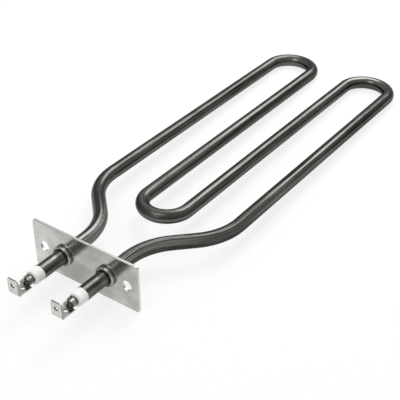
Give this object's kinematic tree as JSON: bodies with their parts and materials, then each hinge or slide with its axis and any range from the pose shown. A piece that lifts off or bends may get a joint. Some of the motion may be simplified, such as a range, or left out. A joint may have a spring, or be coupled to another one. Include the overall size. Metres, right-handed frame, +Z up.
{
  "type": "tubular heating element",
  "caption": "Tubular heating element: a sheathed tube bent into a flat serpentine, fixed through a rectangular screw plate, with ceramic insulated terminal lugs.",
  "frame": {"origin": "midway between the two tube ends, on the mounting plate's front face, which is its terminal side", "axes": "+X to the right along the mounting plate as seen from the terminals, +Y along the tubes from the terminals to the loops, +Z up, square to the plane of the loops, the way the lug tabs point"},
  "size_m": [0.1014, 0.3179, 0.03],
  "materials": {
    "sheath": "satin stainless steel, darkened grey-brown by annealing",
    "powder": "compacted magnesium oxide powder",
    "coil": "drawn nickel-chromium wire",
    "pin": "drawn nickel-plated steel",
    "seal": "matt silicone sealing compound",
    "insulator": "matt white steatite",
    "lug": "bright nickel-plated steel sheet",
    "ferrule": "turned steel, darkened grey-brown",
    "flange": "satin polished stainless steel sheet"
  },
  "bodies": {
    "root": {"sheath_tube": "sheath", "magnesium_oxide_filling": "powder", "resistance_coil": "coil", "left_terminal_pin": "pin", "right_terminal_pin": "pin", "left_end_seal": "seal", "right_end_seal": "seal", "left_insulator": "insulator", "right_insulator": "insulator", "left_terminal_lug": "lug", "right_terminal_lug": "lug", "left_ferrule": "ferrule", "right_ferrule": "ferrule", "mounting_flange": "flange"}
  },
  "joints": []
}
